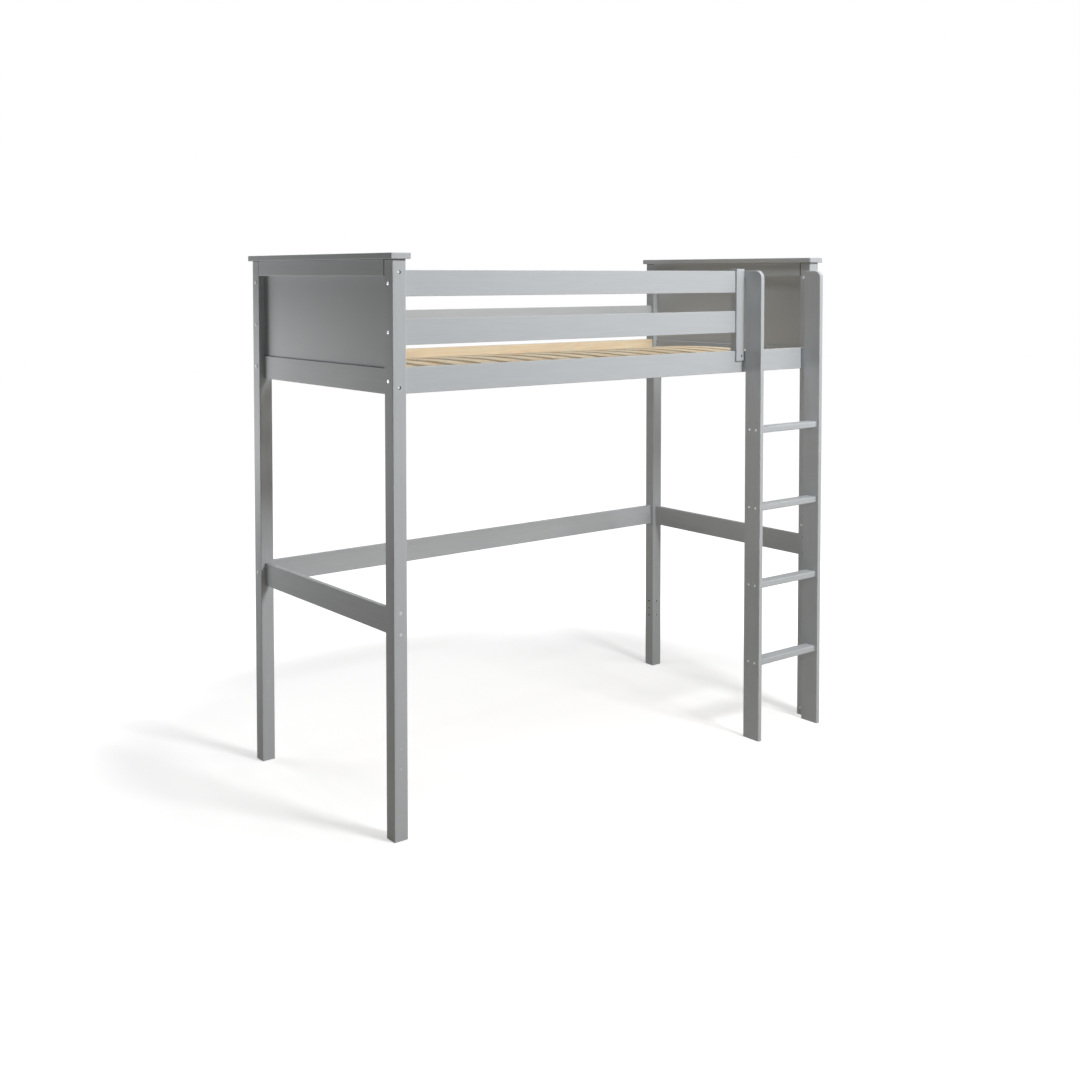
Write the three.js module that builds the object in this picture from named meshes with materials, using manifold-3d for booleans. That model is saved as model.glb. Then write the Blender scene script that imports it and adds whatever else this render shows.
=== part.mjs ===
// Loft bed: a painted pine frame on four posts with a high sleeping deck of sprung slats,
// guard rails front and back, panelled ends with flat caps, and a fixed upright ladder.
// Millimetres, Z up. X runs along the bed, the ladder side faces -Y, the bed stands on Z = 0.
import * as THREE from 'three';
import { mergeVertices } from 'three/addons/utils/BufferGeometryUtils.js';
import Module from 'manifold-3d';

// Frame
const bedLength = 2060;
const bedWidth = 982;
const postSide = 51;
const postAbove = 35;
const postEase = 3;
const footChamfer = 2;

// Rails and stretchers
const railThick = 18;
const railHigh = 85;
const railEase = 2;
const guardGap = 72;
const sideRailBase = 1453;
const backStretcherBase = 672;
const endRailDrop = 3;
const endTopHigh = 54;

// Panelled ends and their caps
const panelThick = 5;
const panelTongue = 5;
const capThick = 20;
const capOverhang = 13;
const capEase = 2.5;
const capCorner = 5;

// Guard upright beside the way in
const uprightWide = 44;
const uprightDeep = 33;
const uprightProud = 8.6;
const uprightAbove = 8;
const uprightLap = 40;
const housingDeep = 14;
const uprightBehindLadder = 3;

// Slats and the rebated bearers that carry them
const slatCount = 16;
const slatWide = 70;
const slatThick = 8;
const slatRise = 22;
const slatSteps = 10;
const slatEndMargin = 40;
const slatEndPlay = 1;
const bearerLeg = 6;
const bearerLedge = 18;
const bearerLip = 38;
const bearerFoot = 6;

// Ladder
const stringerThick = 18;
const stringerDeep = 82;
const stringerRound = 30;
const stringerEase = 2.5;
const ladderClear = 330;
const ladderToPost = 16;
const ladderStandOff = 1;
const ladderAbove = 1;
const rungCount = 4;
const rungPitch = 307;
const firstRungHeight = 308;
const rungThick = 24;
const rungDeep = 52;
const rungEase = 5;
const rungForward = 2;
const spacerShort = 3;
const spacerInset = 5;
const spacerEase = 1;

// Joint bolts, barrel nuts and dowels
const boltRadius = 3;
const boltHead = 6.5;
const boltHeadHigh = 3;
const boltDomeShares = [[0, 1], [0.7, 0.85], [1, 0.3], [1, 0]];
const boltBore = 3.5;
const boltPastNut = 5;
const sunkHead = 5.4;
const sunkHeadHigh = 3.5;
const counterbore = 5.8;
const counterboreDeep = 6;
const nutRadius = 5;
const nutInset = 1.5;
const nutSetback = 35;
const pilotPast = 4;
const dowelRadius = 4;
const dowelReach = 18;
const capDowelReach = 24;
const dowelInset = 9.5;
const endTopInset = 12;
const endRailInset = 25;

// Screws, plugs and inserts
const screwRadius = 2.4;
const screwBore = 2.8;
const screwHead = 4.6;
const screwHeadHigh = 3;
const screwSunk = 0.5;
const stretcherScrewInset = 7.5;
const rungScrewSpread = 16.5;
const guardScrewInset = 20.5;
const lapScrewFromRight = 15.5;
const lapScrewSunk = 3;
const lapScrewBite = 12;
const ladderScrewBite = 30;
const screwCover = 6;
const screwCoverProud = 0.8;
const plugDeep = 6;
const spareHeight = 270;
const topInsertDown = 61;
const midInsertHeight = 798;
const footInsertHeight = 30;
const insertFromFront = 34;
const insertFlange = 5;
const insertProud = 1.2;

// Clearances and mesh steps
const fit = 0.3;
const overrun = 2;
const weld = 0.0001;
const easeSteps = 2;
const roundSteps = 6;
const boreSides = 8;
const screwSides = 6;
const dowelSides = 6;

// Heights that several pieces share
const railPitch = railHigh + guardGap;
const sideRailZ = sideRailBase + railHigh / 2;
const sideRailTop = sideRailBase + railHigh;
const midRailZ = sideRailZ + railPitch;
const topRailZ = midRailZ + railPitch;
const topRailTop = topRailZ + railHigh / 2;
const backStretcherZ = backStretcherBase + railHigh / 2;
const endStretcherZ = backStretcherZ - endRailDrop;
const endRailZ = sideRailZ - endRailDrop;
const endRailTop = sideRailTop - endRailDrop;
const postHeight = topRailTop + postAbove;
const endTopBase = postHeight - endTopHigh;
const endTopZ = postHeight - endTopHigh / 2;
const panelBase = endRailTop - panelTongue;
const panelTop = endTopBase + panelTongue;
const uprightTop = topRailTop + uprightAbove;
const uprightBase = sideRailTop - uprightLap;
const ledgeTop = sideRailTop - bearerLip - slatThick;
const bearerBase = sideRailBase + bearerFoot;
const stringerHigh = topRailTop + ladderAbove;

// Places along and across the bed
const outerX = bedLength / 2;
const innerX = outerX - postSide;
const postX = outerX - postSide / 2;
const frontPostY = postSide / 2;
const backPostY = bedWidth - postSide / 2;
const middleY = bedWidth / 2;
const clearLength = bedLength - 2 * postSide;
const clearWidth = bedWidth - 2 * postSide;
const railRecess = (postSide - railThick) / 2;
const railBackY = railRecess + railThick;
const rightStringerX = innerX - ladderToPost - stringerThick / 2;
const leftStringerX = rightStringerX - ladderClear - stringerThick;
const stringerBackY = -ladderStandOff;
const stringerY = stringerBackY - stringerDeep / 2;
const rungX = (leftStringerX + rightStringerX) / 2;
const rungY = stringerY - rungForward;
const uprightRight = leftStringerX - stringerThick / 2 + uprightBehindLadder;
const uprightLeft = uprightRight - uprightWide;
const uprightX = uprightRight - uprightWide / 2;
const uprightFront = railRecess - uprightProud;
const uprightBack = uprightFront + uprightDeep;

// Bolt, dowel and screw places
const boltReach = nutSetback + boltPastNut;
const pilotReach = boltReach + pilotPast;
const dowelBore = dowelRadius + fit;
const dowelSpread = railHigh / 2 - dowelInset;
const endTopBoltZ = endTopBase + endTopInset;
const endTopDowelZ = postHeight - endTopInset;
const endRailBoltZ = endRailTop - railHigh + endRailInset;
const endRailDowelZ = endRailTop - endRailInset;
const stretcherSpread = railHigh / 2 - stretcherScrewInset;
const stretcherHeights = [endStretcherZ + stretcherSpread, endStretcherZ - stretcherSpread];
const spareHeights = [spareHeight + dowelSpread, spareHeight - dowelSpread];
const guardScrewSpread = railHigh / 2 - guardScrewInset;
const guardScrewRises = [guardScrewSpread, -guardScrewSpread];
const lapScrewX = uprightRight - lapScrewFromRight;
const lapScrewZ = uprightBase + uprightLap / 2;
const lipScrewZ = sideRailTop - bearerLip / 2;
const ledgeScrewZ = (bearerBase + ledgeTop) / 2;
const ladderScrewHeights = [lipScrewZ, ledgeScrewZ];
const ladderScrewXs = [leftStringerX, rightStringerX];
const insertHeights = [postHeight - topInsertDown, midInsertHeight, footInsertHeight];

// Finishes
const paint = { color: '#b3b7b9', roughness: 0.55, metalness: 0, flatShading: true };
const pine = { color: '#d9c49c', roughness: 0.7, metalness: 0, flatShading: true };
const zinc = { color: '#d5d8da', roughness: 0.35, metalness: 0.9, flatShading: true };

const wasm = await Module();
wasm.setup();

const sectionAxes = { x: ['y', 'z'], y: ['z', 'x'], z: ['x', 'y'] };
const unit = {
  x: new THREE.Vector3(1, 0, 0),
  y: new THREE.Vector3(0, 1, 0),
  z: new THREE.Vector3(0, 0, 1),
};
const bothEnds = [-1, 1];

// The turn that lays a shape drawn flat, and pulled along Z, along another axis.
function layAlong(axis) {
  const [across, up] = sectionAxes[axis];
  return new THREE.Matrix4().makeBasis(unit[across], unit[up], unit[axis]);
}

function roundedRectangle(wide, high, radius) {
  const shape = new THREE.Shape();
  const right = wide / 2 - radius;
  const top = high / 2 - radius;
  shape.absarc(right, -top, radius, -Math.PI / 2, 0, false);
  shape.absarc(right, top, radius, 0, Math.PI / 2, false);
  shape.absarc(-right, top, radius, Math.PI / 2, Math.PI, false);
  shape.absarc(-right, -top, radius, Math.PI, 1.5 * Math.PI, false);
  return shape;
}

// An outline pulled along Z about the origin, its end edges bevelled where a bevel is given.
function pull(outline, depth, steps, bevel = 0) {
  const geometry = new THREE.ExtrudeGeometry(outline, {
    depth: depth - 2 * bevel,
    curveSegments: steps,
    bevelEnabled: bevel > 0,
    bevelThickness: bevel,
    bevelSize: bevel,
    bevelOffset: -bevel,
    bevelSegments: 1,
  });
  return geometry.translate(0, 0, bevel - depth / 2);
}

// A bar with eased long edges, centred on the origin, its grain along one axis.
function bar(along, size, ease) {
  const [across, up] = sectionAxes[along];
  const outline = roundedRectangle(size[across], size[up], ease);
  return pull(outline, size[along], easeSteps).applyMatrix4(layAlong(along));
}

function block(low, high) {
  const geometry = new THREE.BoxGeometry(high.x - low.x, high.y - low.y, high.z - low.z);
  return geometry.translate((low.x + high.x) / 2, (low.y + high.y) / 2, (low.z + high.z) / 2);
}

// A round rod or bore between two stations on one axis, at a place across it.
function rod(along, radius, from, to, place = {}, sides = boreSides) {
  const geometry = new THREE.CylinderGeometry(radius, radius, Math.abs(to - from), sides);
  geometry.rotateX(Math.PI / 2);
  geometry.applyMatrix4(layAlong(along));
  const middle = { x: 0, y: 0, z: 0, ...place, [along]: (from + to) / 2 };
  return geometry.translate(middle.x, middle.y, middle.z);
}

// A screw from inside the piece that it bites, out to the top of its head.
function screw(along, from, to, place) {
  const way = Math.sign(to - from);
  return [
    rod(along, screwRadius, from, to - way * screwHeadHigh / 2, place, screwSides),
    rod(along, screwHead, to - way * screwHeadHigh, to, place, screwSides),
  ];
}

// The hole for a screw, from behind a piece to the face that its head is sunk in.
function screwHole(along, from, face, place) {
  const way = Math.sign(face - from);
  const seat = face - way * (screwSunk + screwHeadHigh + fit);
  return [
    rod(along, screwBore, from, face, place, screwSides),
    rod(along, screwHead + fit, seat, face + way * overrun, place, screwSides),
  ];
}

// One vertex to each corner, without the seams that shading and texture need.
function bare(geometry) {
  const copy = geometry.clone();
  copy.deleteAttribute('normal');
  copy.deleteAttribute('uv');
  return mergeVertices(copy, weld);
}

function solidOf(geometry) {
  const merged = bare(geometry);
  const vertProperties = new Float32Array(merged.attributes.position.array);
  const triVerts = new Uint32Array(merged.index.array);
  return new wasm.Manifold(new wasm.Mesh({ numProp: 3, vertProperties, triVerts }));
}

// A blank with its bores and grooves cut, and then what is fixed in it joined on.
function worked(blank, cuts, fixed = []) {
  let solid = solidOf(blank);
  cuts.forEach((cut) => { solid = solid.subtract(solidOf(cut)); });
  fixed.forEach((piece) => { solid = solid.add(solidOf(piece)); });
  const { vertProperties, triVerts } = solid.getMesh();
  const geometry = new THREE.BufferGeometry();
  geometry.setAttribute('position', new THREE.BufferAttribute(vertProperties, 3));
  geometry.setIndex(new THREE.BufferAttribute(triVerts, 1));
  return geometry;
}

const bed = new THREE.Group();

function add(name, geometry, finish, x = 0, y = 0, z = 0) {
  const mesh = new THREE.Mesh(bare(geometry), new THREE.MeshStandardMaterial(finish));
  mesh.name = name;
  mesh.position.set(x, y, z);
  bed.add(mesh);
}

// Long rails, each with the ends at which a bolt and two dowels hold it to a post.

const longRails = [
  { name: 'back_top_rail', row: 'back', z: topRailZ, bolted: bothEnds },
  { name: 'back_mid_rail', row: 'back', z: midRailZ, bolted: bothEnds },
  { name: 'back_side_rail', row: 'back', z: sideRailZ, bolted: bothEnds },
  { name: 'back_stretcher', row: 'back', z: backStretcherZ, bolted: bothEnds },
  { name: 'front_side_rail', row: 'front', z: sideRailZ, bolted: bothEnds },
  { name: 'front_top_rail', row: 'front', z: topRailZ, bolted: [-1] },
  { name: 'front_mid_rail', row: 'front', z: midRailZ, bolted: [-1] },
];
const rows = {
  front: { side: -1, y: frontPostY, unusedLevels: [backStretcherZ, spareHeight] },
  back: { side: 1, y: backPostY, unusedLevels: [spareHeight] },
};
const ends = { left: -1, right: 1 };
const endName = (end) => (end < 0 ? 'left' : 'right');

function boltedEnd(length, end, pocketSide) {
  const face = end * length / 2;
  const beyond = face + end * overrun;
  const nutX = face - end * nutSetback;
  const pocket = pocketSide * railThick / 2;
  return [
    rod('x', boltBore, beyond, face - end * pilotReach),
    rod('y', nutRadius, pocket + pocketSide * overrun, pocket - pocketSide * nutInset, { x: nutX }),
  ];
}

function endDowels(length, end) {
  const face = end * length / 2;
  return [dowelSpread, -dowelSpread].map((z) =>
    rod('x', dowelRadius, face - end * overrun, face + end * dowelReach, { z }, dowelSides));
}

function longRail(rail, length, cuts = [], fixed = []) {
  const blank = bar('x', { x: length, y: railThick, z: railHigh }, railEase);
  const pocketSide = -rows[rail.row].side;
  const joints = rail.bolted.flatMap((end) => boltedEnd(length, end, pocketSide));
  const dowels = rail.bolted.flatMap((end) => endDowels(length, end));
  return worked(blank, [...joints, ...cuts], [...dowels, ...fixed]);
}

// Two guard rails in front stop in housings in the upright, held by screws from its far side.
const guardEnd = uprightLeft + housingDeep - fit;
const guardLength = innerX + guardEnd;
const guardX = (guardEnd - innerX) / 2;
const guardScrews = guardScrewRises.flatMap((z) =>
  screw('x', guardLength / 2 - overrun, uprightRight - guardX - screwSunk, { z }));

const ladderHoles = ladderScrewXs.flatMap((x) => ladderScrewHeights.map((z) =>
  rod('y', screwBore, -railThick, railThick, { x, z: z - sideRailZ }, screwSides)));
const lapPilotPlace = { x: lapScrewX, z: lapScrewZ - sideRailZ };
const lapPilotEnd = lapScrewBite + fit - railThick / 2;
const lapPilot = rod('y', screwBore, -railThick, lapPilotEnd, lapPilotPlace, screwSides);

for (const rail of longRails) {
  const { y } = rows[rail.row];
  if (rail.bolted !== bothEnds) {
    add(rail.name, longRail(rail, guardLength, [], guardScrews), paint, guardX, y, rail.z);
  } else if (rail.row === 'front') {
    add(rail.name, longRail(rail, clearLength, [...ladderHoles, lapPilot]), paint, 0, y, rail.z);
  } else {
    add(rail.name, longRail(rail, clearLength), paint, 0, y, rail.z);
  }
}

// Bolts through the posts into the rails' barrel nuts, with domed heads that stay proud

function boltGeometry(end) {
  const length = postSide + boltReach;
  const dome = boltDomeShares.map(([out, up]) => new THREE.Vector2(out * boltHead, up * boltHeadHigh));
  const shank = [
    new THREE.Vector2(boltRadius, 0),
    new THREE.Vector2(boltRadius, -length),
    new THREE.Vector2(0, -length),
  ];
  const profile = [...dome, ...shank].reverse();
  return new THREE.LatheGeometry(profile, boreSides).rotateZ(-end * Math.PI / 2);
}

for (const rail of longRails) {
  for (const end of rail.bolted) {
    const name = `bolt_${rail.name}_${endName(end)}`;
    add(name, boltGeometry(end), zinc, end * outerX, rows[rail.row].y, rail.z);
  }
}

// Posts, bored alike so that any rail level can be used

function longRailBores(row, end) {
  const inner = -end * postSide / 2;
  const beyond = inner - end * overrun;
  const plug = end * (postSide / 2 - plugDeep);
  const through = end * (postSide / 2 + overrun);
  const used = longRails.filter((rail) => rail.row === row && rail.bolted.includes(end)).map(({ z }) => z);
  const unused = rows[row].unusedLevels;
  const bolts = [
    ...used.map((z) => rod('x', boltBore, beyond, through, { z })),
    ...unused.map((z) => rod('x', boltBore, beyond, plug, { z })),
  ];
  const dowels = [...used, ...unused].flatMap((z) => [dowelSpread, -dowelSpread].map((rise) =>
    rod('x', dowelBore, beyond, inner + end * (dowelReach + fit), { z: z + rise }, dowelSides)));
  return [...bolts, ...dowels];
}

function endFrameBores(side) {
  const inner = -side * postSide / 2;
  const outer = -inner;
  const beyond = inner - side * overrun;
  const past = outer + side * overrun;
  const boltHeights = [endTopBoltZ, endRailBoltZ];
  const dowelEnd = inner + side * (dowelReach + fit);
  const screwEnd = outer - side * counterboreDeep;
  return [
    ...boltHeights.map((z) => rod('y', boltBore, beyond, past, { z })),
    ...boltHeights.map((z) => rod('y', counterbore, outer - side * counterboreDeep, past, { z })),
    ...stretcherHeights.map((z) => rod('y', screwBore, beyond, screwEnd, { z }, screwSides)),
    ...spareHeights.map((z) => rod('y', boltBore, beyond, outer - side * plugDeep, { z })),
    ...[endTopDowelZ, endRailDowelZ].map((z) => rod('y', dowelBore, beyond, dowelEnd, { z }, dowelSides)),
  ];
}

function panelGroove(side) {
  const inner = -side * postSide / 2;
  const reach = [inner - side * overrun, inner + side * (panelTongue + fit)];
  const half = panelThick / 2 + fit;
  return block(
    { x: -half, y: Math.min(...reach), z: panelBase - fit },
    { x: half, y: Math.max(...reach), z: panelTop + fit },
  );
}

// What is fixed to a post: covers over the stretcher's screws, and inserts for accessories.
function postFixings(row, end) {
  const { side, y } = rows[row];
  const outer = side * postSide / 2;
  const covers = stretcherHeights.map((z) =>
    rod('y', screwCover, outer - side * overrun, outer + side * screwCoverProud, { z }));
  if (row !== 'front' || end !== ends.right) {
    return covers;
  }
  const face = -end * postSide / 2;
  const inserts = insertHeights.map((z) =>
    rod('x', insertFlange, face + end * overrun, face - end * insertProud, { y: insertFromFront - y, z }));
  return [...covers, ...inserts];
}

function postGeometry(row, end) {
  const outline = roundedRectangle(postSide, postSide, postEase);
  const blank = pull(outline, postHeight + footChamfer, easeSteps, footChamfer);
  blank.translate(0, 0, (postHeight + footChamfer) / 2);
  const capSeat = block(
    { x: -postSide, y: -postSide, z: postHeight },
    { x: postSide, y: postSide, z: postHeight + postSide },
  );
  const capBoreEnd = postHeight - capDowelReach - fit;
  const capBore = rod('z', dowelBore, capBoreEnd, postHeight + overrun, {}, dowelSides);
  const { side } = rows[row];
  const cuts = [capSeat, capBore, panelGroove(side), ...longRailBores(row, end), ...endFrameBores(side)];
  return worked(blank, cuts, postFixings(row, end));
}

for (const [row, { y }] of Object.entries(rows)) {
  for (const [name, end] of Object.entries(ends)) {
    add(`post_${row}_${name}`, postGeometry(row, end), paint, end * postX, y);
  }
}

// Guard upright: housed for the guard rails, and cut away below to lap the side rail's face

function uprightGeometry() {
  const high = uprightTop - uprightBase;
  const blank = bar('z', { x: uprightWide, y: uprightDeep, z: high }, railEase);
  blank.translate(uprightX, (uprightFront + uprightBack) / 2, uprightBase + high / 2);
  const lap = block(
    { x: uprightLeft - overrun, y: railRecess - fit, z: uprightBase - overrun },
    { x: uprightRight + overrun, y: uprightBack + overrun, z: sideRailTop },
  );
  const housings = [topRailZ, midRailZ].map((z) => block(
    { x: uprightLeft - overrun, y: railRecess - fit, z: z - railHigh / 2 - fit },
    { x: uprightLeft + housingDeep, y: railBackY + fit, z: z + railHigh / 2 + fit },
  ));
  const screwHoles = [topRailZ, midRailZ].flatMap((z) => guardScrewRises.flatMap((rise) =>
    screwHole('x', uprightLeft, uprightRight, { y: frontPostY, z: z + rise })));
  const lapPlace = { x: lapScrewX, z: lapScrewZ };
  const headTop = uprightFront + lapScrewSunk;
  const lapHead = rod('y', screwHead, uprightFront - overrun, headTop, lapPlace, screwSides);
  const lapEnd = railRecess + lapScrewBite;
  const lapScrew = rod('y', screwRadius, railRecess - overrun, lapEnd, lapPlace, screwSides);
  return worked(blank, [lap, ...housings, ...screwHoles, lapHead], [lapScrew]);
}
add('guard_upright', uprightGeometry(), paint);

// Panelled ends

// What is fixed in an end rail's two ends: bolts out through the posts, and dowels.
function endRailFixings(boltZ, dowelZ) {
  const face = clearWidth / 2;
  const boltSeat = face + postSide - counterboreDeep;
  return bothEnds.flatMap((side) => [
    rod('y', boltRadius, side * (face - overrun), side * (boltSeat + sunkHeadHigh / 2), { z: boltZ }),
    rod('y', sunkHead, side * boltSeat, side * (boltSeat + sunkHeadHigh), { z: boltZ }),
    rod('y', dowelRadius, side * (face - overrun), side * (face + dowelReach), { z: dowelZ }, dowelSides),
  ]);
}

function nutPockets(end, z) {
  const pocket = -end * railThick / 2;
  return bothEnds.map((side) => rod('x', nutRadius, pocket - end * overrun, pocket + end * nutInset,
    { y: side * (clearWidth / 2 - nutSetback), z }));
}

function panelSlot(low, high) {
  const half = panelThick / 2 + fit;
  return block({ x: -half, y: -bedWidth, z: low }, { x: half, y: bedWidth, z: high });
}

function endTopRail() {
  const blank = bar('y', { x: postSide, y: clearWidth, z: endTopHigh }, railEase);
  const boltZ = endTopBoltZ - endTopZ;
  const fixings = endRailFixings(boltZ, endTopDowelZ - endTopZ);
  const slot = panelSlot(-endTopHigh, panelTop + fit - endTopZ);
  const capBore = rod('z', dowelBore, endTopHigh / 2 - capDowelReach - fit, endTopHigh, {}, dowelSides);
  return worked(blank, [slot, capBore], fixings);
}

function endBottomRail(end) {
  const blank = bar('y', { x: railThick, y: clearWidth, z: railHigh }, railEase);
  const boltZ = endRailBoltZ - endRailZ;
  const fixings = endRailFixings(boltZ, endRailDowelZ - endRailZ);
  const slot = panelSlot(panelBase - fit - endRailZ, railHigh);
  return worked(blank, [...nutPockets(end, boltZ), slot], fixings);
}

function endStretcher() {
  const blank = bar('y', { x: railThick, y: clearWidth, z: railHigh }, railEase);
  const face = clearWidth / 2;
  const screwEnd = face + postSide - counterboreDeep - fit;
  return worked(blank, [], bothEnds.flatMap((side) => [stretcherSpread, -stretcherSpread].map((z) =>
    rod('y', screwRadius, side * (face - overrun), side * screwEnd, { z }, screwSides))));
}

function capGeometry() {
  const outline = roundedRectangle(postSide + 2 * capOverhang, bedWidth + 2 * capOverhang, capCorner);
  const blank = pull(outline, capThick, easeSteps, capEase);
  const dowelYs = [frontPostY - middleY, 0, backPostY - middleY];
  return worked(blank, [], dowelYs.map((y) =>
    rod('z', dowelRadius, 0, -capThick / 2 - capDowelReach, { y }, dowelSides)));
}

const panel = new THREE.BoxGeometry(panelThick, clearWidth + 2 * panelTongue, panelTop - panelBase);
for (const [name, end] of Object.entries(ends)) {
  const x = end * postX;
  add(`end_cap_${name}`, capGeometry(), paint, x, middleY, postHeight + capThick / 2);
  add(`end_top_rail_${name}`, endTopRail(), paint, x, middleY, endTopZ);
  add(`end_panel_${name}`, panel, paint, x, middleY, (panelBase + panelTop) / 2);
  add(`end_bottom_rail_${name}`, endBottomRail(end), paint, x, middleY, endRailZ);
  add(`end_stretcher_${name}`, endStretcher(), paint, x, middleY, endStretcherZ);
}

// Slat bearers: a lip beside the slats' ends and a ledge under them

function bearerBlank() {
  const section = new THREE.Shape();
  section.moveTo(0, bearerBase);
  section.lineTo(bearerLeg + bearerLedge, bearerBase);
  section.lineTo(bearerLeg + bearerLedge, ledgeTop);
  section.lineTo(bearerLeg, ledgeTop);
  section.lineTo(bearerLeg, sideRailTop);
  section.lineTo(0, sideRailTop);
  section.closePath();
  return pull(section, clearLength - 2 * fit, easeSteps).applyMatrix4(layAlong('x'));
}

// Two screws behind each side of the ladder run from the bearer through rail and spacer.
const screwSeats = [
  { z: lipScrewZ, face: bearerLeg },
  { z: ledgeScrewZ, face: bearerLeg + bearerLedge },
];
const headTops = screwSeats.map(({ z, face }) => ({ z, top: face - screwSunk }));
const bearerBores = ladderScrewXs.flatMap((x) => screwSeats.flatMap(({ z, face }) =>
  screwHole('y', -overrun, face, { x, z })));
add('slat_bearer_front', worked(bearerBlank(), bearerBores), pine, 0, railBackY);
add('slat_bearer_back', bearerBlank().rotateZ(Math.PI), pine, 0, bedWidth - railBackY);

// Sprung slats, each an arch that stands on the two ledges

const slatLength = bedWidth - 2 * (railBackY + bearerLeg + slatEndPlay);

function slatGeometry() {
  const half = slatLength / 2;
  const arch = Array.from({ length: slatSteps + 1 }, (_, step) => {
    const share = 2 * step / slatSteps - 1;
    return new THREE.Vector2(share * half, slatRise * (1 - share * share));
  });
  const crown = arch.map(({ x, y }) => new THREE.Vector2(x, y + slatThick)).reverse();
  return pull(new THREE.Shape([...arch, ...crown]), slatWide, easeSteps).applyMatrix4(layAlong('x'));
}

const slat = slatGeometry();
const slatTravel = clearLength - slatWide - 2 * slatEndMargin;
for (let index = 0; index < slatCount; index += 1) {
  const x = slatTravel * (index / (slatCount - 1) - 1 / 2);
  add(`slat_${String(index + 1).padStart(2, '0')}`, slat, pine, x, middleY, ledgeTop + fit);
}

// Ladder

const rungHeights = Array.from({ length: rungCount }, (_, index) => firstRungHeight + index * rungPitch);
const rungScrewYs = [-rungScrewSpread, rungScrewSpread];

function stringerGeometry(end) {
  const half = stringerDeep / 2;
  const outline = new THREE.Shape();
  outline.moveTo(-half, 0);
  outline.lineTo(half, 0);
  outline.lineTo(half, stringerHigh);
  const roundY = stringerRound - half;
  outline.absarc(roundY, stringerHigh - stringerRound, stringerRound, Math.PI / 2, Math.PI, false);
  outline.closePath();
  const blank = pull(outline, stringerThick, roundSteps, stringerEase).applyMatrix4(layAlong('x'));
  const outer = end * stringerThick / 2;
  const rungBores = rungHeights.flatMap((z) => rungScrewYs.flatMap((y) =>
    screwHole('x', -outer - end * overrun, outer, { y, z })));
  const pilots = ladderScrewHeights.map((z) =>
    rod('y', screwBore, half + overrun, half - ladderScrewBite - fit, { z }, screwSides));
  return worked(blank, [...rungBores, ...pilots]);
}

function rungGeometry() {
  const blank = bar('x', { x: ladderClear, y: rungDeep, z: rungThick }, rungEase);
  const face = ladderClear / 2;
  const headTop = face + stringerThick - screwSunk;
  return worked(blank, [], bothEnds.flatMap((end) => rungScrewYs.flatMap((y) =>
    screw('x', end * (face - overrun), end * headTop, { y: y + rungForward }))));
}

add('ladder_stringer_left', stringerGeometry(ends.left), paint, leftStringerX, stringerY);
add('ladder_stringer_right', stringerGeometry(ends.right), paint, rightStringerX, stringerY);
rungHeights.forEach((z, index) => add(`ladder_rung_${index + 1}`, rungGeometry(), paint, rungX, rungY, z));

// Narrow spacers hold the ladder off the recessed side rail

const spacerDeep = railRecess + ladderStandOff;
const spacerHigh = railHigh - 2 * spacerShort;

function spacerGeometry() {
  const spacerWide = stringerThick - 2 * spacerInset;
  const blank = bar('z', { x: spacerWide, y: spacerDeep, z: spacerHigh }, spacerEase);
  const screws = headTops.flatMap(({ z, top }) =>
    screw('y', -spacerDeep / 2 - ladderScrewBite, spacerDeep / 2 + railThick + top, { z: z - sideRailZ }));
  return worked(blank, [], screws);
}
const spacerY = stringerBackY + spacerDeep / 2;
add('ladder_spacer_left', spacerGeometry(), paint, leftStringerX, spacerY, sideRailZ);
add('ladder_spacer_right', spacerGeometry(), paint, rightStringerX, spacerY, sideRailZ);

// The origin is on the floor under the middle of the whole bed, ladder included.
const frontmost = stringerBackY - stringerDeep;
const backmost = bedWidth + capOverhang;
bed.position.y = -(frontmost + backmost) / 2;

export default bed;
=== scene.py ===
"""Dresses a loft bed: painted and natural pine, its bolts, screws and covers, and a plain studio.

Places are in metres in the bed's own frame: X along the bed, Y = 0 at the posts' front faces,
Z up from the floor. Each finished mesh is shifted once, to the middle of the whole bed.
"""

import math

import bmesh
import bpy
from bpy.props import FloatProperty, FloatVectorProperty, IntProperty, PointerProperty
from mathutils import Matrix, Vector


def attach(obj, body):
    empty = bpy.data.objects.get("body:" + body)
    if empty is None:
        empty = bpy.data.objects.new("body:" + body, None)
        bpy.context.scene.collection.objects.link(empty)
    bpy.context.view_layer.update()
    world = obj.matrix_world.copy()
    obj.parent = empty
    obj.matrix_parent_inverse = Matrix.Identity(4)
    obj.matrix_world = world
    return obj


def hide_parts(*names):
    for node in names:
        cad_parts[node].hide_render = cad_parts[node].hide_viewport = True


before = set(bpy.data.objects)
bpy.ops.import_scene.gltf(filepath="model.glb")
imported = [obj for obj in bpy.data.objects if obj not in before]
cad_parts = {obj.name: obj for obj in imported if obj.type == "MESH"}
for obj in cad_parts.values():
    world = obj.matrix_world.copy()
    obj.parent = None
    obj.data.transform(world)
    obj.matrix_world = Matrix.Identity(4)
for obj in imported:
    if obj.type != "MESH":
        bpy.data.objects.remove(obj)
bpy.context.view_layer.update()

bl_info = {
    "name": "Loft bed",
    "version": (1, 0, 0),
    "blender": (4, 5, 0),
    "location": "3D View > Sidebar > Loft bed",
    "description": "Builds a painted pine loft bed with its slats, ladder and fittings",
    "category": "Object",
}

ROWS = {"front": -1, "back": 1}
ENDS = {"left": -1, "right": 1}
AXES = {"x": 0, "y": 1, "z": 2}

# Play round tongues and heads, and the small chamfer round a bore
FIT = 0.0003
LIP = 0.0003

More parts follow.
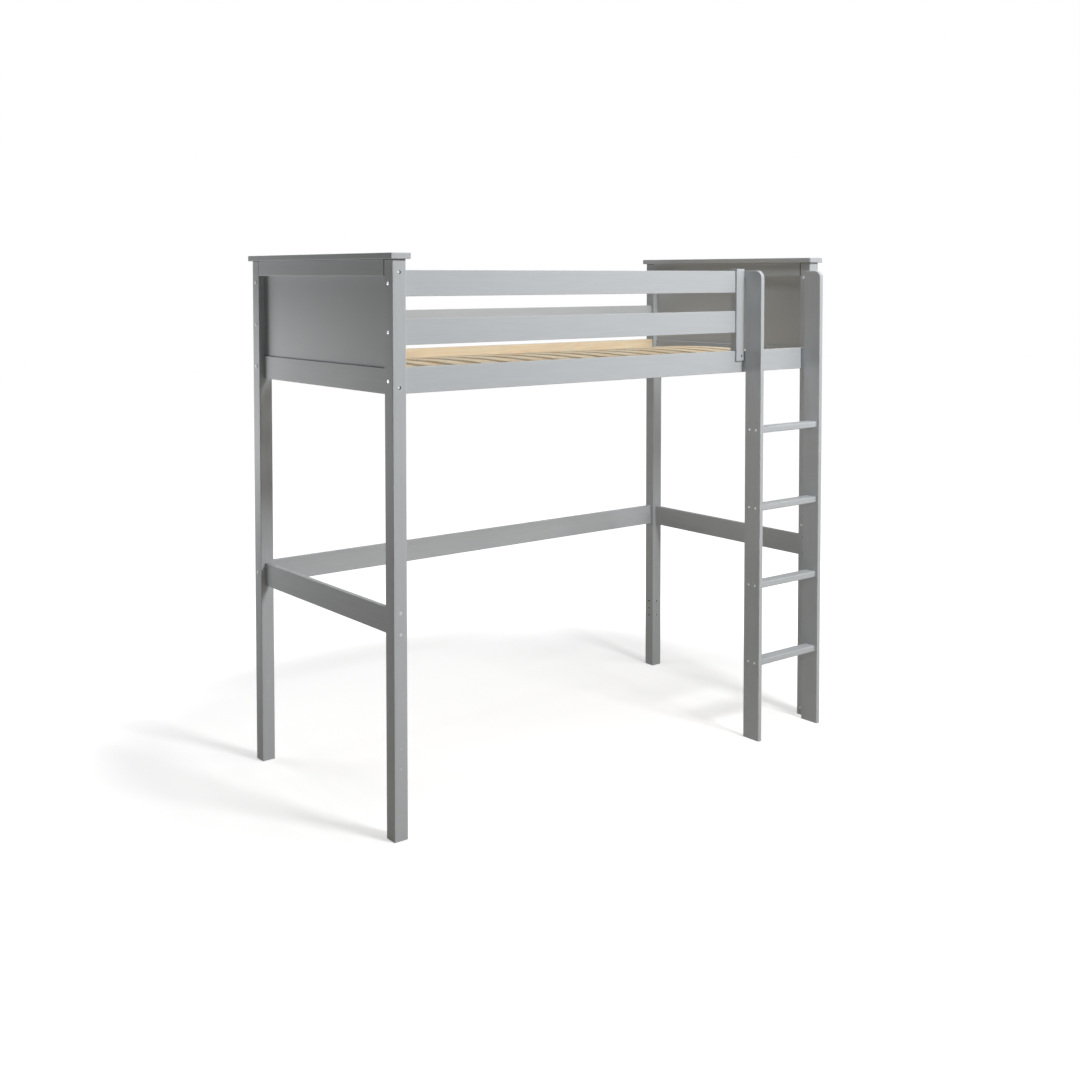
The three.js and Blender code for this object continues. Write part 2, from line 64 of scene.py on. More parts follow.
# Radii of arrises, and of the rounded faces where two painted pieces meet, which carry painted shade
POST_ARRIS = 0.003
POST_FOOT = 0.002
POST_JOINT = 0.0018
BOARD_ARRIS = 0.002
BOARD_END = 0.0004
CAP_CORNER = 0.005
CAP_ARRIS = 0.0025
HEAD_RAIL_JOINTS = ((1, 0.0008), (-1, 0.0020))
FOOT_RAIL_END = 0.0006
BEARER_ARRIS = 0.0012
SLAT_ARRIS = 0.0025
SLAT_END = 0.0008
BLOCK_ARRIS = 0.001
BLOCK_END = 0.0005
RUNG_ARRIS = 0.005

# Bolts, their bores and the barrel nuts. DOME_BASE is the share of a head's height under its dome,
# and the rises are from the end rails' undersides to their bolts
BOLT_HEAD = 0.0065
BOLT_PROUD = 0.003
SUNK_HEAD = 0.0054
SUNK_HEAD_HIGH = 0.0035
SUNK_SEAT = 0.0058
BOLT_FLAT = 0.003
BOLT_SHANK = 0.004
DOME_BASE = 0.32
DOME_TURNS = [math.radians(turn) for turn in (0, 15, 30, 45, 57)]
HEXAGON = 0.0025
HEXAGON_DEEP = 0.0022
BOLT_BORE = 0.0035
BOLT_BORE_DEEP = 0.045
SPARE_BORE_DEEP = 0.044
SPARE_CLOSED = 0.0004
COUNTERBORE = 0.0058
COUNTERBORE_DEEP = 0.006
NUT_RADIUS = 0.005
NUT_PROUD = 0.0009
NUT_STEPS = ((NUT_RADIUS, 0), (NUT_RADIUS, 0.0007), (0.0048, NUT_PROUD))
NUT_POCKET = 0.0052
NUT_POCKET_DEEP = 0.0015
NUT_SETBACK = 0.035
NUT_SLOT = (0.0035, 0.0006)
NUT_SLOT_DEEP = 0.0008
END_BOLT_RISES = (0.012, 0.025)

# Dowels, plugs and covers. An inset is from a rail's edge to the middle of the fastening
DOWEL_BORE = 0.0043
DOWEL_BORE_DEEP = 0.0183
DOWEL_INSET = 0.0095
PLUG = 0.0036
PLUG_DEEP = 0.0003
COVER_INSET = 0.0075
COVER_STEPS = (
    (0.0045, -0.001), (0.006, 0), (0.00592, 0.00035), (0.0054, 0.00062), (0.0036, 0.00076), (0, 0.0008)
)

# Screws. A recess is how deep a head's bore is, and CROSS is half the width and the reach of its cross
SCREW_HEAD = 0.0046
SCREW_SUNK = 0.0005
SCREW_RECESS = 0.0028
SCREW_STEPS = ((0.0026, -0.0022), (0.0045, -0.0004), (SCREW_HEAD, -0.00015), (0.0044, 0))
CROSS = (0.00045, 0.0021)
CROSS_DEEP = 0.0014
RUNG_SCREW_SPREAD = 0.0165
GUARD_SCREW_INSET = 0.0205
LAP_SCREW_INSET = 0.0155
LAP_SCREW_SUNK = 0.003
LAP_SCREW_RECESS = 0.0052

# Inserts in the right front post: the high one is open, and the low ones have a closed face
INSERT_STEPS = ((0.005, 0), (0.005, 0.0008), (0.0046, 0.0012), (0.0042, 0.0012))
INSERT_BORE = 0.0031
INSERT_LIP = 0.0004
INSERT_DEEP = 0.006
INSERT_CLOSED = 0.0006
INSERT_Y = 0.034
INSERT_DROP = 0.061
LOW_INSERTS = (0.798, 0.030)

# Ladder: its sides' rise past the top rail, the rungs' place forward and the blocks' shortfall.
# Slats: the play at their ends, and in how many steps they are bent
STRINGER_PAST = 0.001
RUNG_FORWARD = 0.002
BLOCK_SHORT = 0.003
SLAT_PLAY = 0.001
SLAT_STEPS = 24

# The angle past which an edge is shaded sharp, and the sides of turned and of round pieces
SHARP = math.radians(40)
SIDES = 32
SMALL_SIDES = 28
BORE_SIDES = 24

CAMERA_PLACE = (-3.3012, -4.0842, 1.8338)
CAMERA_AZIMUTH = 0.669
CAMERA_TILT = 0.042
CAMERA_SHIFT = -0.1927


def size(name, description, default):
    return FloatProperty(name=name, description=description, default=default, unit="LENGTH")


def power(name, description, default):
    return FloatProperty(name=name, description=description, default=default, unit="POWER")


def colour(name, description, default):
    return FloatVectorProperty(
        name=name, description=description, default=default, size=3, subtype="COLOR", min=0, max=1
    )


class LoftBedSizes(bpy.types.PropertyGroup):
    """The bed's sizes in metres."""

    bed_length: size("Bed length", "Over the posts, along the bed", 2.060)
    bed_width: size("Bed width", "Over the posts, across the bed", 0.982)
    post_side: size("Post side", "Side of a square post", 0.051)
    post_height: size("Post height", "Floor to the underside of the cap", 1.887)
    rail_thick: size("Rail thickness", "Thickness of rails and stretchers", 0.018)
    rail_high: size("Rail height", "Height of rails and stretchers", 0.085)
    side_rail_base: size("Side rail base", "Floor to the underside of the side rails", 1.453)
    rail_pitch: size("Rail pitch", "From one guard rail to the next", 0.157)
    stretcher_base: size("Stretcher base", "Floor to the underside of the back stretcher", 0.672)
    end_drop: size("End rail drop", "How far the end rails lie below the long ones", 0.003)
    end_top_high: size("End top rail height", "Height of the rail under the cap", 0.054)
    panel_thick: size("Panel thickness", "Thickness of the end panels", 0.005)
    tongue: size("Tongue", "How deep a panel sits in its grooves", 0.005)
    cap_thick: size("Cap thickness", "Thickness of the cap boards", 0.020)
    cap_overhang: size("Cap overhang", "How far a cap stands past the posts", 0.013)
    upright_wide: size("Upright width", "Width of the guard upright", 0.044)
    upright_deep: size("Upright depth", "Depth of the guard upright", 0.033)
    upright_proud: size("Upright proud", "How far the upright stands before the rails", 0.0086)
    upright_above: size("Upright above", "How far the upright passes the top rail", 0.008)
    upright_lap: size("Upright lap", "How far the upright laps the side rail", 0.040)
    upright_behind: size("Upright behind ladder", "How far the upright reaches behind the ladder", 0.003)
    housing: size("Housing", "Depth of the guard rails' housings", 0.014)
    slat_wide: size("Slat width", "Width of a slat", 0.070)
    slat_thick: size("Slat thickness", "Thickness of a slat", 0.008)
    slat_rise: size("Slat rise", "How far a slat arches up", 0.022)
    slat_margin: size("Slat margin", "From the deck's end to the first slat", 0.040)
    bearer_leg: size("Bearer lip", "Thickness of the bearer's lip", 0.006)
    bearer_ledge: size("Bearer ledge", "Width of the ledge under the slats", 0.018)
    bearer_lip: size("Bearer lip height", "From the slats' tops to the lip's top", 0.038)
    bearer_foot: size("Bearer foot", "From the side rail's underside to the bearer's", 0.006)
    stringer_thick: size("Ladder side thickness", "Thickness of a ladder side", 0.018)
    stringer_deep: size("Ladder side depth", "Depth of a ladder side", 0.082)
    stringer_ease: size("Ladder side arris", "Radius of its long edges", 0.0025)
    stringer_round: size("Ladder side corner", "Radius of its top front corner", 0.030)
    spacer_inset: size("Spacer inset", "How much narrower than a ladder side a spacer is, each side", 0.005)
    ladder_clear: size("Ladder width", "Clear width between the ladder's sides", 0.330)
    ladder_to_post: size("Ladder to post", "From the ladder to the right post", 0.016)
    stand_off: size("Stand-off", "From the ladder's back to the posts' front", 0.001)
    first_rung: size("First rung", "Floor to the middle of the lowest rung", 0.308)
    rung_pitch: size("Rung pitch", "From one rung to the next", 0.307)
    rung_thick: size("Rung thickness", "Thickness of a rung", 0.024)
    rung_deep: size("Rung depth", "Front to back of a rung", 0.052)
    spare_height: size("Spare bores", "Height of the lowest set of bores", 0.270)
    slats: IntProperty(name="Slats", description="Number of slats", default=16, min=2)
    rungs: IntProperty(name="Rungs", description="Number of rungs", default=4, min=1)


class LoftBedFinishes(bpy.types.PropertyGroup):
    """The bed's colours, and how rough its paint is."""

    paint: colour("Paint", "Satin paint on the frame", (0.514, 0.541, 0.565))
    paint_worn: colour("Thin paint", "Where the paint is thin on an arris", (0.600, 0.612, 0.615))
    pine_light: colour("Pine, early wood", "Between the growth rings", (0.840, 0.735, 0.555))
    pine_dark: colour("Pine, late wood", "The growth rings", (0.790, 0.575, 0.365))
    knot: colour("Knots", "Knots in the pine", (0.260, 0.120, 0.050))
    steel: colour("Plated steel", "Bolts, nuts and screws", (0.780, 0.790, 0.800))
    cover: colour("Covers", "Plastic covers and plugs", (0.600, 0.610, 0.620))
    roughness: FloatProperty(
        name="Paint roughness", description="How dull the paint is", default=0.42, min=0, max=1
    )


class LoftBedStudio(bpy.types.PropertyGroup):
    """The lamps and the camera."""

    key_power: power("Key light", "Power of the high front lamp", 150)
    top_power: power("Top light", "Power of the overhead lamp", 125)
    side_power: power("Side light", "Power of the right front lamp", 36)
    back_power: power("Back light", "Power of the left back lamp", 8)
    ambient: FloatProperty(name="Ambient", description="Strength of the plain surroundings", default=0.015)
    lens: FloatProperty(name="Lens", description="Focal length", default=44.64, unit="CAMERA")


# Places


class Plan:
    """The places that several pieces share."""

    def __init__(self, scene):
        s = self.sizes = scene.loft_bed_sizes
        half_post, half_rail = s.post_side / 2, s.rail_high / 2
        self.outer_x = s.bed_length / 2
        self.inner_x = self.outer_x - s.post_side
        self.post_x = self.outer_x - half_post
        self.row_y = {"front": half_post, "back": s.bed_width - half_post}
        self.middle_y = s.bed_width / 2
        self.side_z = s.side_rail_base + half_rail
        self.side_top = s.side_rail_base + s.rail_high
        self.mid_z = self.side_z + s.rail_pitch
        self.top_z = self.mid_z + s.rail_pitch
        self.top_top = self.top_z + half_rail
        self.stretcher_z = s.stretcher_base + half_rail
        self.end_stretcher_z = self.stretcher_z - s.end_drop
        self.end_rail_top = self.side_top - s.end_drop
        self.end_rail_base = self.end_rail_top - s.rail_high
        self.end_top_base = s.post_height - s.end_top_high
        self.panel_base = self.end_rail_top - s.tongue
        self.panel_top = self.end_top_base + s.tongue
        self.recess = (s.post_side - s.rail_thick) / 2
        self.rail_back = self.recess + s.rail_thick
        right = self.inner_x - s.ladder_to_post - s.stringer_thick / 2
        left = right - s.ladder_clear - s.stringer_thick
        self.stringer_x = {"left": left, "right": right}
        self.stringer_front = -s.stand_off - s.stringer_deep
        self.stringer_y = -s.stand_off - s.stringer_deep / 2
        self.upright_right = left - s.stringer_thick / 2 + s.upright_behind
        self.upright_left = self.upright_right - s.upright_wide
        self.upright_front = self.recess - s.upright_proud
        self.upright_base = self.side_top - s.upright_lap
        self.ledge_top = self.side_top - s.bearer_lip - s.slat_thick
        self.bearer_base = s.side_rail_base + s.bearer_foot
        self.rung_z = [s.first_rung + i * s.rung_pitch for i in range(s.rungs)]
        rises = (-RUNG_SCREW_SPREAD, RUNG_SCREW_SPREAD)
        self.rung_screws = [(self.stringer_y + rise, z) for z in self.rung_z for rise in rises]
        self.ladder_screw_z = (self.side_top - s.bearer_lip / 2, (self.bearer_base + self.ledge_top) / 2)
        self.end_bolt_z = (self.end_top_base + END_BOLT_RISES[0], self.end_rail_base + END_BOLT_RISES[1])
        self.nut_x = self.inner_x - NUT_SETBACK
        reach = s.bed_width / 2 - s.post_side - NUT_SETBACK
        self.end_nut_y = [s.bed_width / 2 + way * reach for way in (-1, 1)]
        self.dowel_spread = half_rail - DOWEL_INSET
        self.spare_z = [s.spare_height + way * self.dowel_spread for way in (1, -1)]
        self.cover_z = [self.end_stretcher_z + way * (half_rail - COVER_INSET) for way in (1, -1)]
        spread = half_rail - GUARD_SCREW_INSET
        self.guard_screw_z = [z + way * spread for z in (self.top_z, self.mid_z) for way in (1, -1)]
        self.lap_screw = (self.upright_right - LAP_SCREW_INSET, self.upright_base + s.upright_lap / 2)
        self.shift = -(self.stringer_front + s.bed_width + s.cap_overhang) / 2

    def long_rails(self):
        """Name, row, middle height and bolted ends of each long rail."""
        both, left = (-1, 1), (-1,)
        return [
            ("back_top_rail", "back", self.top_z, both),
            ("back_mid_rail", "back", self.mid_z, both),
            ("back_side_rail", "back", self.side_z, both),
            ("back_stretcher", "back", self.stretcher_z, both),
            ("front_side_rail", "front", self.side_z, both),
            ("front_top_rail", "front", self.top_z, left),
            ("front_mid_rail", "front", self.mid_z, left),
        ]

    def across_ends(self, normal, y, heights):
        """Places for fastenings on the middle lines of the left and the right post."""
        return [facing(normal, (end * self.post_x, y, z)) for end in (-1, 1) for z in heights]

    def spare_levels(self, row):
        """Heights of a post's bores that hold no rail."""
        return [self.sizes.spare_height] + ([self.stretcher_z] if row == "front" else [])


# Finishes


class Level:
    """A number that varies over a surface; sums on it add Math nodes."""

    def __init__(self, nodes, socket):
        self.nodes = nodes
        self.socket = socket

    def sum(self, operation, *terms):
        return self.nodes.number("ShaderNodeMath", {"operation": operation}, dict(enumerate(terms)))

    def __add__(self, other):
        return self.sum("ADD", self, other)

    def __radd__(self, other):
        return self.sum("ADD", other, self)

    def __sub__(self, other):
        return self.sum("SUBTRACT", self, other)

    def __rsub__(self, other):
        return self.sum("SUBTRACT", other, self)

    def __mul__(self, other):
        return self.sum("MULTIPLY", self, other)

    def __rmul__(self, other):
        return self.sum("MULTIPLY", other, self)

    def sine(self):
        return self.sum("SINE", self)

    def between(self, low, high):
        """0 below low, 1 above high, and a smooth step from one to the other."""
        return self.nodes.number(
            "ShaderNodeMapRange",
            {"interpolation_type": "SMOOTHSTEP"},
            {"Value": self, "From Min": low, "From Max": high, "To Min": 0.0, "To Max": 1.0},
        )


class Nodes:
    """Makes the nodes of a material or of the surroundings."""

    def __init__(self, holder):
        holder.use_nodes = True
        self.tree = holder.node_tree
        self.tree.nodes.clear()

    def feed(self, socket, value):
        """Links a level or another socket, or sets a value. A colour is given as three numbers."""
        if isinstance(value, Level):
            value = value.socket
        if isinstance(value, bpy.types.NodeSocket):
            self.tree.links.new(value, socket)
        elif socket.type == "RGBA":
            socket.default_value = (*value, 1.0)
        else:
            socket.default_value = value

    def node(self, kind, settings=None, values=None):
        made = self.tree.nodes.new(kind)
        for key, value in (settings or {}).items():
            setattr(made, key, value)
        for key, value in (values or {}).items():
            self.feed(made.inputs[key], value)
        return made

    def number(self, kind, settings=None, values=None, output=0):
        return Level(self, self.node(kind, settings, values).outputs[output])

    def camera(self):
        return self.number("ShaderNodeLightPath", output="Is Camera Ray")

    def seen(self, camera):
        """1 for what the camera, a reflection or clear glass shows, 0 for light that falls on things."""
        path = self.node("ShaderNodeLightPath").outputs
        return camera + path["Is Glossy Ray"] + path["Is Transmission Ray"]


class Finish(Nodes):
    """One material."""

    def __init__(self, name):
        self.material = bpy.data.materials.new(name)
        super().__init__(self.material)
        self.shader = self.node("ShaderNodeBsdfPrincipled")
        self.output = self.node("ShaderNodeOutputMaterial", {}, {"Surface": self.shader.outputs[0]})

    def place(self, scale=(1, 1, 1), offset=None):
        """The place on the piece, stretched, in the bed's own axes."""
        at = self.node("ShaderNodeTexCoord").outputs["Object"]
        if offset is not None:
            at = self.node("ShaderNodeVectorMath", {"operation": "ADD"}, {0: at, 1: offset}).outputs[0]
        return self.node("ShaderNodeMapping", {}, {"Vector": at, "Scale": scale}).outputs[0]

    def noise(self, at, scale, detail=2.0, roughness=0.5, distortion=0.0):
        values = {"Vector": at, "Scale": scale, "Detail": detail, "Roughness": roughness}
        return self.number("ShaderNodeTexNoise", {}, {**values, "Distortion": distortion})

    def mark(self, name):
        """A number stored on the mesh's faces."""
        return Level(self, self.node("ShaderNodeAttribute", {"attribute_name": name}).outputs["Fac"])

    def mix(self, factor, first, second, blend="MIX"):
        settings = {"data_type": "RGBA", "blend_type": blend}
        return self.node("ShaderNodeMix", settings, {0: factor, 6: first, 7: second}).outputs[2]

    def wear(self, **values):
        """Sets the shader's sockets, named with underscores for spaces."""
        for key, value in values.items():
            self.feed(self.shader.inputs[key.replace("_", " ")], value)

    def relief(self, height, distance, strength):
        values = {"Height": height, "Distance": distance, "Strength": strength}
        self.wear(Normal=self.node("ShaderNodeBump", {}, values).outputs[0])


def along(axis, run, across):
    """Three numbers: run on one axis and across on the other two."""
    numbers = [across] * 3
    numbers[AXES[axis]] = run
    return tuple(numbers)


def shade(tint, tone):
    return tuple(part * tone for part in tint)


def paint_finish(colours, grain):
    """Satin paint through which a little of the wood's grain shows."""
    finish = Finish(f"painted_pine_{grain}")
    own = finish.mark("board") * 7.3
    at = finish.place(along(grain, 1.3, 34.0), offset=own)
    figure = finish.noise(at, 1.0, 3.0, 0.55, 0.6)
    fibre = finish.noise(finish.place(along(grain, 14.0, 900.0)), 1.0, 3.0, 0.6)
    cloud = finish.noise(finish.place(), 3.2, 2.0)
    speck = finish.noise(finish.place(), 1500.0, 1.0)
    rings = (figure * 40.0).sine() * 0.5 + 0.5
    tone = 0.955 + rings * 0.018 + fibre * 0.045 + cloud * 0.03
    arris = finish.mark("arris") * finish.noise(finish.place(), 46.0, 3.0).between(0.42, 0.72)
    body = finish.mix(tone.between(0.9, 1.1), shade(colours.paint, 0.9), shade(colours.paint, 1.1))
    finish.wear(
        Base_Color=finish.mix(arris * 0.55, body, colours.paint_worn),
        Roughness=colours.roughness + cloud * 0.08 + fibre * 0.06 - arris * 0.05,
        Specular_IOR_Level=0.15,
    )
    finish.relief(rings * 0.35 + fibre * 0.8 + speck * 0.15, 0.00009, 0.7)


def panel_finish(colours):
    """Sprayed satin paint on a smooth board."""
    finish = Finish("painted_panel")
    cloud = finish.noise(finish.place(), 2.4, 2.0)
    peel = finish.noise(finish.place(), 420.0, 2.0, 0.5)
    arris = finish.mark("arris")
    body = finish.mix(cloud, shade(colours.paint, 0.955), shade(colours.paint, 1.02))
    finish.wear(
        Base_Color=finish.mix(arris * 0.3, body, colours.paint_worn),
        Roughness=colours.roughness + 0.02 + peel * 0.06,
        Specular_IOR_Level=0.15,
    )
    finish.relief(peel, 0.00006, 0.6)


def pine_finish(colours, grain, depth):
    """Planed pine with growth rings, fibres and a few knots. depth is how strongly the rings show."""
    finish = Finish(f"natural_pine_{grain}")
    own = finish.mark("board") * 5.7
    at = finish.place(along(grain, 1.1, 16.0), offset=own)
    figure = finish.noise(at, 1.0, 2.0, 0.45, 0.35)
    fibre = finish.noise(finish.place(along(grain, 22.0, 1100.0)), 1.0, 3.0, 0.6)
    cloud = finish.noise(finish.place(offset=own), 5.0, 2.0)
    rings = ((figure * 62.0 + fibre * 0.9).sine() * 0.5 + 0.5).between(0.30, 0.98)
    cells = finish.place(along(grain, 3.2, 7.5), offset=own)
    spots = finish.number("ShaderNodeTexVoronoi", {}, {"Vector": cells, "Scale": 1.0})
    knots = 1 - spots.between(0.035, 0.085)
    halo = 1 - spots.between(0.06, 0.2)
    wood = finish.mix(rings * depth + halo * 0.15, colours.pine_light, colours.pine_dark)
    blotch = (cloud * 0.5 + fibre * 0.5).between(0.3, 0.7)
    light = finish.mix(blotch, (0.90, 0.89, 0.86), (1.04, 1.03, 1.02))
    finish.wear(
        Base_Color=finish.mix(knots * 0.8, finish.mix(1.0, wood, light, "MULTIPLY"), colours.knot),
        Roughness=0.56 + fibre * 0.16 - knots * 0.14,
        Specular_IOR_Level=0.35,
    )
    finish.relief(fibre * 0.8 - rings * 0.35 + knots * 0.4, 0.00012, 0.8)


def shade_finish():
    """Near-black painted shade inside a bore and in the joints between pieces, with a fine rough burr."""
    finish = Finish("bored_wood")
    burr = finish.noise(finish.place(), 900.0, 3.0, 0.6)
    finish.wear(
        Base_Color=finish.mix(burr, (0.014, 0.012, 0.010), (0.040, 0.035, 0.029)),
        Roughness=0.9,
        Specular_IOR_Level=0.1,
    )
    finish.relief(burr, 0.0002, 0.8)


def steel_finish(colours, name, tone, roughness, metallic):
    """Plating, finely turned."""
    finish = Finish(name)
    turned = finish.noise(finish.place(), 2600.0, 2.0)
    cloud = finish.noise(finish.place(), 340.0, 2.0)
    finish.wear(
        Base_Color=finish.mix(cloud, shade(colours.steel, tone * 0.85), shade(colours.steel, tone)),
        Metallic=metallic,
        Roughness=roughness + cloud * 0.14 + turned * 0.05,
    )
    finish.relief(turned, 0.00002, 0.5)


def cover_finish(colours, name, tone):
    """Moulded plastic with a fine matt grain."""
    finish = Finish(name)
    grain = finish.noise(finish.place(), 1800.0, 2.0)
    finish.wear(
        Base_Color=finish.mix(grain, shade(colours.cover, tone * 0.95), shade(colours.cover, tone)),
        Roughness=0.42 + grain * 0.12,
        Specular_IOR_Level=0.45,
    )
    finish.relief(grain, 0.00003, 0.5)


# Shaping


def blank():
    """An empty bmesh whose faces carry a mark for eased edges."""
    bm = bmesh.new()
    bm.faces.layers.float.new("arris")
    return bm


def box_mesh(low, high):
    """A block between two corners."""
    bm = blank()
    low, high = Vector(low), Vector(high)
    place = Matrix.Translation((low + high) / 2) @ Matrix.Diagonal((*(high - low), 1))
    bmesh.ops.create_cube(bm, size=1, matrix=place)
    return bm


def only(geometry, kind):
    return [part for part in geometry if isinstance(part, kind)]


def profile_mesh(points, axis, low, high):
    """A section, given as points across X or Y, pulled from low to high along it."""
    bm = blank()
    corners = [(low, u, v) if axis == "x" else (u, low, v) for u, v in points]
    face = bm.faces.new([bm.verts.new(corner) for corner in corners])
    pulled = bmesh.ops.extrude_face_region(bm, geom=[face])["geom"]
    bmesh.ops.translate(bm, vec=along(axis, high - low, 0), verts=only(pulled, bmesh.types.BMVert))
    bmesh.ops.recalc_face_normals(bm, faces=bm.faces)
    return bm


def long_edges(bm, axis):
    """The edges that run along one axis."""
    return [e for e in bm.edges if abs((e.verts[0].co - e.verts[1].co).normalized()[AXES[axis]]) > 0.999]


def stands_out(edge):
    """True for an edge that sticks out, and false for one in a corner or on a flat."""
    return edge.calc_face_angle_signed(0) > 0.5


def rim(bm, axis, way=0):
    """The edges round the faces that look along an axis, or only one way along it."""
    looks = [(f, f.normal[AXES[axis]]) for f in bm.faces]
    faces = [f for f, look in looks if (look * way if way else abs(look)) > 0.999]
    return list(dict.fromkeys(e for f in faces for e in f.edges))


def ease(bm, edges, width, segments, joint=False):
    """Rounds the given edges. The new faces are marked as an arris or, when joint is set, get the piece's
    near-black second finish: painted shade in the gap.
    """
    arris = bm.faces.layers.float["arris"]
    made = bmesh.ops.bevel(
        bm,
        geom=edges,
        offset=width,
        offset_type="OFFSET",
        affect="EDGES",
        segments=segments,
        profile=0.5,
        material=-1,
        clamp_overlap=True,
    )
    for face in made["faces"]:
        face[arris] = 0.0 if joint else 1.0
        if joint:
            face.material_index = 1
    bm.normal_update()


def ease_bar(bm, grain, width, end_width):
    """Eases a bar's long edges, and then the edges round its two ends."""
    ease(bm, long_edges(bm, grain), width, 4)
    ease(bm, rim(bm, grain), end_width, 2)


def facing(normal, at):
    """The turn and place that stand a +Z piece on a face."""
    return Matrix.Translation(at) @ Vector(normal).to_track_quat("Z", "Y").to_matrix().to_4x4()


def ring(bm, at, normal, radius, sides=BORE_SIDES):
    """A ring of edges round a place, square to normal."""
    place = facing(normal, at)
    made = bmesh.ops.create_circle(bm, cap_ends=False, segments=sides, radius=radius, matrix=place)
    return list(dict.fromkeys(e for v in made["verts"] for e in v.link_edges))


def rectangle(u0, v0, u1, v1):
    return ((u0, v0), (u1, v0), (u1, v1), (u0, v1))


def outline(bm, corners):
    """A closed outline of straight edges."""
    verts = [bm.verts.new(corner) for corner in corners]
    return [bm.edges.new((verts[i - 1], verts[i])) for i in range(len(verts))]


def bore(at, normal, radius, depth, lip=LIP, sides=BORE_SIDES):
    """A round recess for sink()."""
    return (at, normal, lambda bm: ring(bm, at, normal, radius, sides), depth, lip)


def pocket(corners, normal, depth):
    """A straight-sided recess for sink()."""
    return (corners[0], normal, lambda bm: outline(bm, corners), depth, 0)


def screw_recess(at, normal):
    return bore(at, normal, SCREW_HEAD + FIT, SCREW_RECESS)


def nut_pocket(at, normal):
    return bore(at, normal, NUT_POCKET, NUT_POCKET_DEEP)


def broad_face(bm, at, normal):
    """The largest face that looks along normal and lies in the plane through a place."""
    fits = [
        f for f in bm.faces
        if f.normal.dot(normal) > 0.999 and abs((f.calc_center_median() - at).dot(normal)) < 1e-4
    ]
    return max(fits, key=lambda f: f.calc_area())


def sink(bm, cuts, material=1):
    """Makes recesses in one broad face. Their walls and floors get the given material; the default, the
    piece's second, is the near-black painted shade.
    """
    bm.normal_update()
    at, normal = (Vector(part) for part in cuts[0][:2])
    face = broad_face(bm, at, normal)
    index = face.material_index
    edges = list(face.edges)
    bmesh.ops.delete(bm, geom=[face], context="FACES_ONLY")
    rings = [(make(bm), depth, lip) for _, _, make, depth, lip in cuts]
    for walls, _, _ in rings:
        edges += walls
    filled = bmesh.ops.triangle_fill(bm, use_beauty=True, use_dissolve=False, edges=edges, normal=normal)
    for part in only(filled["geom"], bmesh.types.BMFace):
        part.material_index = index
    for walls, depth, lip in rings:
        for step, inset, slot in ((lip, lip, index), (depth - lip, 0, material)):
            if step <= 0:
                continue
            made = bmesh.ops.extrude_edge_only(bm, edges=walls)["geom"]
            verts = only(made, bmesh.types.BMVert)
            walls = only(made, bmesh.types.BMEdge)
            centre = sum((v.co for v in verts), Vector()) / len(verts)
            bmesh.ops.translate(bm, vec=-normal * step, verts=verts)
            if inset:
                share = 1 - inset / max((v.co - centre).length for v in verts)
                centre -= normal * step
                for v in verts:
                    v.co = centre + (v.co - centre) * share
            for part in only(made, bmesh.types.BMFace):
                part.material_index = slot
        walls = [e for e in walls if all(v in verts for v in e.verts)]
        bmesh.ops.edgeloop_fill(bm, edges=walls, mat_nr=material)


def turned(steps, sides, socket=None):
    """A turned piece on +Z from (radius, height) steps. A socket is sunk in its flat top."""
    bm = blank()
    verts = [bm.verts.new((radius, 0, z)) for radius, z in steps]
    edges = [bm.edges.new(pair) for pair in zip(verts, verts[1:])]
    bmesh.ops.spin(
        bm,
        geom=verts + edges,
        cent=(0, 0, 0),
        axis=(0, 0, 1),
        angle=2 * math.pi,
        steps=sides,
        use_merge=True,
    )
    bmesh.ops.remove_doubles(bm, verts=bm.verts, dist=1e-6)
    open_edges = [e for e in bm.edges if e.is_boundary]
    if open_edges:
        bmesh.ops.edgeloop_fill(bm, edges=open_edges)
    bmesh.ops.recalc_face_normals(bm, faces=bm.faces)
    if socket:
        sink(bm, [socket], material=0)
        bmesh.ops.recalc_face_normals(bm, faces=bm.faces)
    return bm


def gather(pattern, places):
    """Copies of one small piece at several places, as one mesh."""
    part = bpy.data.meshes.new("pattern")
    pattern.to_mesh(part)
    pattern.free()
    bm = bmesh.new()
    for place in places:
        before = set(bm.verts)
        bm.from_mesh(part)
        bmesh.ops.transform(bm, matrix=place, verts=[v for v in bm.verts if v not in before])
    bpy.data.meshes.remove(part)
    return bm


def settle(plan, bm, name, finishes, *nodes, slot="painted_pine", board=0.0):
    """Turns a shape into a finished piece that stands for the given nodes.

    finishes names one finish or more, with spaces between. board moves the grain, so that
    no two boards look alike.
    """
    bmesh.ops.recalc_face_normals(bm, faces=bm.faces)
    bmesh.ops.translate(bm, vec=(0, plan.shift, 0), verts=bm.verts)
    mark = bm.faces.layers.float.get("board") or bm.faces.layers.float.new("board")
    for face in bm.faces:
        face[mark] = board
        face.smooth = True
    mesh = bpy.data.meshes.new(name)
    bm.to_mesh(mesh)
    bm.free()
    for finish in finishes.split():
        mesh.materials.append(bpy.data.materials[finish])
    mesh.set_sharp_from_angle(angle=SHARP)
    piece = bpy.data.objects.new(name, mesh)
    bpy.context.scene.collection.objects.link(piece)
    even = piece.modifiers.new("even shading", "WEIGHTED_NORMAL")
    even.keep_sharp = True
    even.weight = 60
    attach(piece, "root")
    if nodes:
        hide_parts(*nodes)


# Operators


class PieceOperator(bpy.types.Operator):
    """Shared ways of the operators that build pieces."""

    bl_options = {"REGISTER", "UNDO"}

    def execute(self, context):
        plan = Plan(context.scene)
        self.build(plan, plan.sizes)
        return {"FINISHED"}


